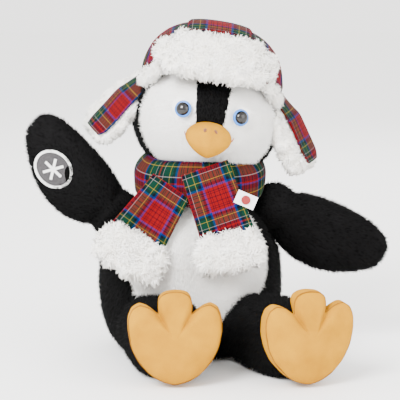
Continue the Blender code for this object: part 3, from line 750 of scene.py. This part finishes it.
# ---- head's skin and pile
def build_head():
    nodes = ("head_back_panel", "face_left_panel", "face_right_panel", "forehead_stripe",
             "head_stuffing")
    low, high = extent(HEAD, *nodes)
    half = (high - low) / 2
    skin = blob("head_skin", "white_skin", nodes, [(HEAD, half)], voxel=0.0040, smooth=10)
    puffed(skin, BODY_PRESSURE, cap=0.002)
    carried(skin, "head")
    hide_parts(*nodes)
    stripe_low, stripe_high = extent(FACE, "forehead_stripe")
    face_back = extent(FACE, "face_left_panel")[1].y
    eye_spots = [Vector(FACE.inverted() @ face_spot(f"{s}_eye_disc")[0]) for s in ("left", "right")]

    def stripe(p):
        q = local(FACE, p)
        wide = stripe_high.x - 0.0022 + (q[:, 2] - stripe_low.z) * 0.10
        return (abs(q[:, 0]) < wide) & (q[:, 2] > stripe_low.z - 0.005) & (q[:, 1] < 0)

    def face(p):
        q = local(FACE, p)
        return (q[:, 1] < face_back) & ~stripe(p)

    def clear(p):
        q = local(FACE, p)
        free = np.ones(len(p), bool)
        for spot in eye_spots:
            apart = (q[:, 0] - spot.x) ** 2 + (q[:, 2] - spot.z - EYE_CLEAR_UP) ** 2
            near = apart < EYE_CLEAR ** 2
            free &= ~(near & (q[:, 1] < 0))
        return free

    def away(p):
        """Pile that is brushed out from the middle of the face, and down."""
        q = p - np.array(NOSE)
        q[:, 1] *= 0.2
        q[:, 2] -= 0.02
        return q / np.maximum(np.linalg.norm(q, axis=1, keepdims=True), 1e-6)
    painted(skin, "black_skin", lambda p: ~face(p))
    white = strands("head_fur_white", skin, "face_fur", per_mm2=2.0, length=0.0042,
                    width=WHITE_WIDTH, seed=21, comb=away, lean=1.0, jitter=0.4,
                    soft=0.7, keep=lambda p: face(p) & clear(p))
    black = strands("head_fur_black", skin, "black_fur", per_mm2=1.0, length=0.0042,
                    width=BLACK_WIDTH, seed=22, lean=1.0,
                    keep=lambda p: ~face(p) & clear(p) & (local(HEAD, p)[:, 2] < 0.050))
    for fur, slot in ((white, "white_fur"), (black, "black_fur")):
        carried(fur, "head")


# ---- hat
HAT_LOW, HAT_HIGH = extent(HEAD, "hat_gusset", "hat_left_panel", "hat_right_panel")
GUSSET_HALF = extent(HEAD, "hat_gusset")[1].x
HAT_POWER = 2.5          # of the crown's rounded square section: 2 is an ellipse
FRONT_RIM = 0.20         # the crown's front edge, as a share of the quarter arc up from its rim
HAT_CLOTH = 0.0014       # the thickness of the lined tartan
GUSSET_LAP = 0.0012      # the gusset's cloth runs this far over each side panel
GUSSET_OVER = 0.0024     # and lies this high over them, less at its edges


def crown(x, a, grow=0.0):
    """A point of the crown at x across, a from the front rim over the top to the back rim."""
    wide, deep = HAT_HIGH.x + grow, HAT_HIGH.y + grow
    tall = HAT_HIGH.z - HAT_LOW.z + grow
    k = max(0.0, 1 - abs(x / wide) ** HAT_POWER) ** (1 / HAT_POWER)
    c, s = math.cos(a), math.sin(a)
    y = -deep * k * math.copysign(abs(c) ** (2 / HAT_POWER), c)
    z = tall * k * abs(s) ** (2 / HAT_POWER) + HAT_LOW.z
    return HEAD @ Vector((x, y, z))


def arched(v, across):
    """The angle over the crown: the front edge is lower towards the sides."""
    start = FRONT_RIM * max(0.0, 1 - across ** 2) * math.pi / 2
    return start + (math.pi - start) * v


def build_crown():
    def top(u, v):
        x = (2 * u - 1) * (GUSSET_HALF + GUSSET_LAP)
        edge = max(0.0, abs(2 * u - 1) - 0.93) / 0.07
        return crown(x, arched(v, 0), GUSSET_OVER - 0.0014 * edge)
    arc = math.pi * 0.075
    gusset = grid("hat_gusset_cloth", "tartan", top, nu=24, nv=72, size=(2 * GUSSET_HALF, arc),
                  thick=HAT_CLOTH)
    carried(gusset, "hat")
    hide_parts("hat_gusset")
    for side, sign in (("left", 1), ("right", -1)):
        def panel(u, v, sign=sign):
            u = 0.97 * (u if sign > 0 else 1 - u)
            x = GUSSET_HALF + (HAT_HIGH.x - GUSSET_HALF) * math.sin(u * math.pi / 2)
            sag = 0.0008 * math.sin(9 * v * math.pi) * u
            return crown(sign * x, arched(v, u), sag)
        cloth = grid(f"hat_{side}_cloth", "tartan", panel, nu=26, nv=72,
                     size=(0.055, arc * 0.8), thick=HAT_CLOTH)
        carried(cloth, "hat")
        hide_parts(f"hat_{side}_panel")


def fleece(name, body, nodes, balls, seed, length=0.0048, keep=None):
    """A padded strip of curly fleece: a tufted skin with curls on it."""
    skin = blob(f"{name}_skin", "fleece_skin", nodes, balls, voxel=0.0030, smooth=6)
    subdivided(skin)
    tufted(skin, depth=0.0026, scale=110, seed=seed)
    curls = strands(f"{name}_curls", skin, "fleece", per_mm2=0.9, length=length, width=0.0016,
                    seed=seed, keep=keep,
                    lean=0.35, jitter=0.5, curl=0.0010, turns=0.8, steps=3, soft=0.6, clump=0.9)
    for piece in (skin, curls):
        carried(piece, body)
    if nodes:
        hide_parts(*nodes)
    return skin


def build_brim():
    """The turned-up front, and the fleece edge that runs from it down to the flaps."""
    balls = []
    brim_low, brim_high = extent(HEAD, "hat_brim_fleece")
    ends = brim_high.x
    for sign in (1, -1):
        for i in range(6):
            t = i / 5
            angle = math.radians(52 + 30 * t)
            x = sign * (HAT_HIGH.x - 0.004) * math.sin(angle) ** 0.8
            y = -(HAT_HIGH.y - 0.001) * math.cos(angle) ** 0.8
            z = HAT_LOW.z + (brim_low.z + 0.002 - HAT_LOW.z) * (1 - t) ** 1.3 - 0.001
            balls.append((Matrix.Translation(HEAD @ Vector((x, y, z))), (0.0065, 0.0065, 0.0065)))
    rows = ((0.18, 0.80), (0.40, 1.0), (0.62, 0.97), (0.86, 0.70))    # height, width: shares
    for share, spread in rows:
        z = brim_low.z + (brim_high.z - brim_low.z) * share
        for i in range(15):
            x = (i / 7 - 1) * ends * 0.86 * spread
            inside = 1 - abs(x / HAT_HIGH.x) ** HAT_POWER
            inside -= abs((z - HAT_LOW.z) / (HAT_HIGH.z - HAT_LOW.z)) ** HAT_POWER
            y = -HAT_HIGH.y * max(0.0, inside) ** (1 / HAT_POWER) - 0.0045
            balls.append((Matrix.Translation(HEAD @ Vector((x, y, z))), (0.0080, 0.0075, 0.0080)))
    skin = fleece("hat_brim", "hat", (), balls, seed=31)
    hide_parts("hat_brim_fleece")


FLAP_EDGE = -0.42        # the tartan ends here across the flap, and the fleece wraps its front
FLAP_ROOT = 0.010        # of its cloth is sewn in under the crown
FLAP_TWIST = math.radians(9)   # of the flap's tip, which shows more of its tartan face


def build_flaps():
    for side, sign in (("left", 1), ("right", -1)):
        joint = JOINTS[f"{side}_flap_fold"]
        origin, across = Vector(joint["pos_m"]), -Vector(joint["axis"])
        cloth_node, fleece_node = f"hat_{side}_flap_cloth", f"hat_{side}_flap_fleece"
        low, high = box_of(cloth_node)
        down = (low + high) / 2 - origin
        down = (down - across * down.dot(across)).normalized()
        at = frame_of(origin, down, across)
        low, high = extent(at, cloth_node)

        def spot(v, y, z, at=at, high=high, sign=sign):
            """A point v down the flap, y across it from -1 to 1, z out of its tartan face."""
            width = high.y * (1 - 0.20 * v ** 2) * (1 - max(0.0, v - 0.84) ** 2 * 9)
            width *= 1 - 0.25 * max(0.0, 1 - 4 * v)
            curl = 0.0035 * v ** 2 - 0.0035 * y * y - 0.0075 * max(0.0, 1 - 3 * v) ** 1.5
            turn = Matrix.Rotation(sign * FLAP_TWIST * v, 4, "X")
            inner = turn @ Vector((0, y * width, z + curl))
            return at @ Vector((v * high.x - FLAP_ROOT * max(0.0, 1 - 4 * v) ** 2, inner.y, inner.z))

        def shape(u, v, spot=spot, high=high):
            return spot(v, FLAP_EDGE + (1 - FLAP_EDGE) * u, high.z * 0.5)
        outer = grid(f"hat_{side}_flap_tartan", "tartan", shape, nu=28, nv=32,
                     size=((1 - FLAP_EDGE) * high.y, high.x), thick=0.0016)
        carried(outer, f"hat_{side}_flap")
        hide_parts(cloth_node)
        rows = [0.06 + 0.88 * i / 7 for i in range(8)]
        balls = [(Matrix.Translation(spot(v, y, -0.0085)), (0.0066,) * 3)
                 for v in rows for y in (-0.82, -0.41, 0, 0.41, 0.82)]
        balls += [(Matrix.Translation(spot(v, y, -0.0050)), (0.0068,) * 3)
                  for v in rows for y in (-1.0, -0.74)]
        balls += [(Matrix.Translation(spot(1.0, y, -0.0070)), (0.0060,) * 3)
                  for y in (-0.9, -0.45, 0, 0.45, 0.9)]
        tree = BVHTree.FromPolygons([v.co for v in outer.data.vertices],
                                    [tuple(f.vertices) for f in outer.data.polygons])

        def clear(p, tree=tree):
            """Curls keep off the tartan face."""
            return np.array([tree.find_nearest(Vector(q))[3] > 0.0034 for q in p])
        skin = fleece(f"hat_{side}_flap", f"hat_{side}_flap", (), balls, seed=33 + sign,
                      length=0.0042, keep=clear)
        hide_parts(fleece_node)


# ---- scarf
NECK_ROUND, SCARF_WIDTH = 0.36, 0.050
TAIL_TUCK, TAIL_OVERLAP = 0.012, 0.010       # its cloth goes under the band, and into the fleece


def build_band():
    low, high = box_of("scarf_neck_band")
    middle, half = (low + high) / 2, (high - low) / 2

    def shape(u, v):
        around, section = math.tau * u, math.tau * v
        front = max(0.0, -math.sin(around))
        folds = 0.0012 * math.sin(5 * around + 1.5 * math.sin(section)) * math.sin(section) ** 2
        out = 0.0052 * math.copysign(abs(math.cos(section)) ** 0.6, math.cos(section)) + folds
        tall = (half.z + 0.004 + 0.002 * front) * math.sin(section)
        inward = 0.010 * max(0.0, math.sin(section)) ** 2
        rise = 0.006 - 0.006 * front + 0.0010 * math.sin(3 * around)
        return middle + Vector(((half.x - 0.004 - inward + out) * math.cos(around),
                                (half.y - 0.003 - inward + out) * math.sin(around), tall + rise))
    band = grid("scarf_band_tartan", "tartan", shape, nu=96, nv=28, size=(NECK_ROUND, 0.075),
                thick=0, closed=True)
    weld = band.modifiers.new("weld", "WELD")
    weld.merge_threshold = 0.00001
    applied(band)
    carried(band, "torso")
    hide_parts("scarf_neck_band")


def build_tail(side, top_half, low_half, fold, lift):
    """A tail that widens from top_half to low_half, with one soft fold along it."""
    joint = JOINTS[f"scarf_{side}_swing"]
    origin = Vector(joint["pos_m"])
    body = f"scarf_{side}"
    low, high = box_of(f"scarf_{side}_tail")
    down = ((low + high) / 2 - origin).normalized()
    across = Vector(joint["axis"]) * -1
    at = frame_of(origin, down, across)
    ends = extent(at, f"scarf_{side}_tail")
    long = ends[1].x + TAIL_OVERLAP
    out_sign = -1 if (at.to_3x3() @ Vector((0, 0, 1))).y > 0 else 1

    def shape(u, v):
        width = top_half + (low_half - top_half) * v
        x = -TAIL_TUCK * (1 - v) ** 2 + long * v
        ripple = fold * math.sin(math.tau * (1.15 * u + 0.1) + 1.2 * v) * (0.35 + 0.65 * v)
        bulge = lift * (1 - v) ** 2 + 0.002 * math.sin(math.pi * u)
        return at @ Vector((x, (2 * u - 1) * width, out_sign * (ripple + bulge)))
    flat = (top_half + low_half, long + TAIL_TUCK)
    cloth = grid(f"scarf_{side}_tartan", "tartan", shape, nu=40, nv=40, size=flat, thick=0.0013)
    carried(cloth, body)
    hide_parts(f"scarf_{side}_tail")
    fleece(f"scarf_{side}_end", body, (f"scarf_{side}_fleece",), [], 41 if side == "left" else 42,
           length=0.0058)


def build_scarf():
    build_band()
    build_tail("right", top_half=0.021, low_half=0.029, fold=0.0042, lift=0.002)
    build_tail("left", top_half=0.0235, low_half=0.0265, fold=0.0016, lift=0.002)
    refinish(NODES["scarf_label"], "label")
    refinish(NODES["label_dot"], "label_red")


# ---- wings
WING_ROOT_RADII = (0.024, 0.0135, 0.027)
BADGE_BARE = (0.0195, 0.0170)                # half the oval that the badge keeps free of pile


def build_wing(side):
    joint = JOINTS[f"{side}_wing_swing"]
    origin, axis = Vector(joint["pos_m"]), Vector(joint["axis"])
    nodes = [f"{side}_wing_{n}" for n in ("front_panel", "back_panel", "stuffing")]
    low, high = box_of(nodes[0])
    along = (low + high) / 2 - origin
    along.y = 0
    along = (along - axis * along.dot(axis)).normalized()
    at = frame_of(origin, along, (0, 1, 0))
    root = at @ Matrix.Translation((-0.012, 0, 0))
    skin = blob(f"{side}_wing_skin", "black_skin", nodes, [(root, WING_ROOT_RADII)],
                voxel=0.0035, smooth=12)
    puffed(skin, BODY_PRESSURE, cap=0.003)
    badge = None
    if side == "right":
        badge_low, badge_high = box_of("badge_border")
        badge = (badge_low + badge_high) / 2

    def keep(p):
        if badge is None:
            return np.ones(len(p), bool)
        q = local(at, p) - local(at, np.array([badge]))
        inside = (q[:, 0] / BADGE_BARE[0]) ** 2 + (q[:, 2] / BADGE_BARE[1]) ** 2 < 1
        return ~(inside & (p[:, 1] < origin.y))
    fur = strands(f"{side}_wing_fur", skin, "black_fur", per_mm2=1.1, length=0.0046,
                  width=BLACK_WIDTH, seed=51 if side == "left" else 52, comb=tuple(along),
                  lean=0.9, keep=keep)
    for piece in (skin, fur):
        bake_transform(piece)
    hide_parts(*nodes)


def build_badge():
    for node, material in (("badge_field", "grey"), ("badge_border", "embroidery"),
                           ("badge_snowflake", "embroidery")):
        refinish(NODES[node], material)


# ---- legs and feet
LEG_ROOT_RADII = (0.033, 0.024, 0.031)


def build_leg(side):
    nodes = [f"{side}_leg_{n}" for n in ("upper_panel", "under_panel", "stuffing")]
    low, high = box_of(nodes[2])
    hip = Vector(JOINTS[f"{side}_hip_fold"]["pos_m"])
    middle = (low + high) / 2
    start = Matrix.Translation((hip.x, low.y + (high.y - low.y) * 0.9, middle.z))
    skin = blob(f"{side}_leg_skin", "black_skin", nodes, [(start, LEG_ROOT_RADII)],
                voxel=0.0035, smooth=12)
    puffed(skin, BODY_PRESSURE, cap=0.003)
    on_floor(skin)
    fur = strands(f"{side}_leg_fur", skin, "black_fur", per_mm2=1.0, length=0.0052,
                  width=BLACK_WIDTH, seed=61 if side == "left" else 62, comb=(0, -0.3, -0.8),
                  lean=0.8,
                  keep=lambda p: p[:, 2] > 0.0015)
    for piece in (skin, fur):
        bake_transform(piece)
    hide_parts(*nodes)


# the foot's outline: degrees from straight up, distance from its middle over the foot's half width
OUTLINE = np.array([(0, 1.0), (10, 0.995), (17, 0.965), (22, 0.90), (28, 0.74), (32, 0.625),
                    (35, 0.67), (39, 0.87), (45, 1.03), (54, 1.085), (64, 1.06), (75, 1.00),
                    (90, 0.935), (112, 0.89), (135, 0.885), (160, 0.93), (180, 0.965)])
FOOT_AROUND, FOOT_RINGS = 240, 26
CREASE_AT, CREASE_WIDE = 32, 8               # degrees: the crease between two toes


def build_foot(side):
    """Two plush panels sewn along the outline of three toes and a heel, and stuffed."""
    nodes = [f"{side}_foot_{n}" for n in ("sole", "top", "stuffing")]
    axis = Vector(JOINTS[f"{side}_ankle_fold"]["axis"])
    low, high = box_of(nodes[2])
    at = frame_of((low + high) / 2, axis, (-axis.y, axis.x, 0))
    low, high = extent(at, *nodes)
    unit = (high.z - low.z) / 2 / 0.985
    rise = (high.z + low.z) / 2 + unit * 0.02
    seam_y = low.y * 0.45

    def outline(angle):
        turned = abs(math.degrees(angle))
        here, before, after = (np.interp(t, *OUTLINE.T)
                               for t in (turned, abs(turned - 1), min(turned + 1, 180)))
        return unit * (here * 0.5 + 0.25 * before + 0.25 * after)

    def crease(angle, share):
        turned = abs(math.degrees(angle))
        return math.exp(-((turned - CREASE_AT) / CREASE_WIDE) ** 2) * max(0.0, share - 0.35) / 0.65

    def point(angle, share, face):
        """The sole is face -1, and the seam round it is in front of the foot's middle."""
        power = 2.1 if face < 0 else 4.5
        dome = max(0.0, 1 - share ** power) ** (1 / power)
        depth = low.y - 0.0010 - seam_y if face < 0 else high.y + 0.0010 - seam_y
        toe = 1 - 0.12 * max(0.0, math.cos(angle)) * share
        y = seam_y + depth * dome * toe * (1 - 0.8 * crease(angle, share))
        bulge = 1 + (0.035 * math.sin(math.pi * dome) if face > 0 else 0)
        reach = outline(angle) * share * bulge
        return at @ Vector((math.sin(angle) * reach, y, rise + math.cos(angle) * reach))
    angles = [math.tau * i / FOOT_AROUND - math.pi for i in range(FOOT_AROUND)]
    plush = sewn_domes(f"{side}_foot_plush", point, angles, FOOT_RINGS, -1, "gold")
    evened(plush, 3)
    puffed(plush, pressure=2, cap=0.0012)
    tufted(plush, depth=0.0007, scale=60, seed=7 if side == "left" else 8)
    on_floor(plush)
    carried(plush, f"{side}_foot")
    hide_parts(*nodes)
    points = [point(a, 1.006, -1) for a in angles[::2]]
    cord = tube(f"{side}_foot_seam", "gold_dark", points, 0.00055)
    carried(cord, f"{side}_foot")


def finish_inside():
    """What the skins hide inside keeps its CAD shape, with a finish of its own."""
    for node, material in (("neck_stuffing", "filling"), ("left_eye_washer", "label"),
                           ("right_eye_washer", "label")):
        refinish(NODES[node], material)


# ---- studio
FLOOR_HALF = 6
LAMP_AIM = (0, 0, 0.16)
LAMPS = (("key", 105, 0.9, (-0.9, -1.5, 1.4)),      # name, watts, size, place
         ("fill", 26, 1.4, (1.4, -1.2, 0.8)),
         ("rim", 14, 1.0, (0.4, 1.4, 1.2)))
CAMERA_AIM = Vector((0.010, 0, 0.150))
CAMERA_DISTANCE, CAMERA_RISE = 1.6, math.radians(9)
VIEW_WIDTH = 0.400       # what the camera sees across at the aim
SENSOR_MM = 36


def area_light(name, energy, size, place, aim):
    data = bpy.data.lights.new(name, "AREA")
    data.energy = energy
    data.size = size
    lamp = bpy.data.objects.new(name, data)
    lamp.location = place
    lamp.rotation_euler = (Vector(aim) - Vector(place)).to_track_quat("-Z", "Y").to_euler()
    bpy.context.scene.collection.objects.link(lamp)


def build_studio():
    mesh = bpy.data.meshes.new("floor")
    corners = [(x * FLOOR_HALF, y * FLOOR_HALF, 0) for x, y in ((-1, -1), (1, -1), (1, 1), (-1, 1))]
    mesh.from_pydata(corners, [], [(0, 1, 2, 3)])
    floor = link("floor", mesh, smooth=False)
    made, _, _, shader = shader_of("pale_floor")
    set_values(shader, base=(0.97, 0.97, 0.97), rough=0.9, spec=0.1)
    mesh.materials.append(made)
    world = bpy.context.scene.world or bpy.data.worlds.new("world")
    bpy.context.scene.world = world
    world.use_nodes = True
    back = world.node_tree.nodes.get("Background")
    back.inputs["Color"].default_value = (1, 0.985, 0.96, 1)
    back.inputs["Strength"].default_value = 2.7
    for name, watts, size, place in LAMPS:
        area_light(name, watts, size, place, LAMP_AIM)


def build_camera():
    data = bpy.data.cameras.new("camera")
    data.sensor_width = SENSOR_MM
    data.lens = SENSOR_MM * CAMERA_DISTANCE / VIEW_WIDTH
    camera = bpy.data.objects.new("camera", data)
    away = Vector((0, -math.cos(CAMERA_RISE), math.sin(CAMERA_RISE)))
    camera.location = CAMERA_AIM + CAMERA_DISTANCE * away
    camera.rotation_euler = (math.pi / 2 - CAMERA_RISE, 0, 0)
    bpy.context.scene.collection.objects.link(camera)
    bpy.context.scene.camera = camera


build_studio()
build_camera()
build_torso()
build_head()
build_eyes()
build_beak()
build_crown()
build_brim()
build_flaps()
build_scarf()
for each in ("left", "right"):
    build_wing(each)
    build_leg(each)
    build_foot(each)
build_badge()
finish_inside()
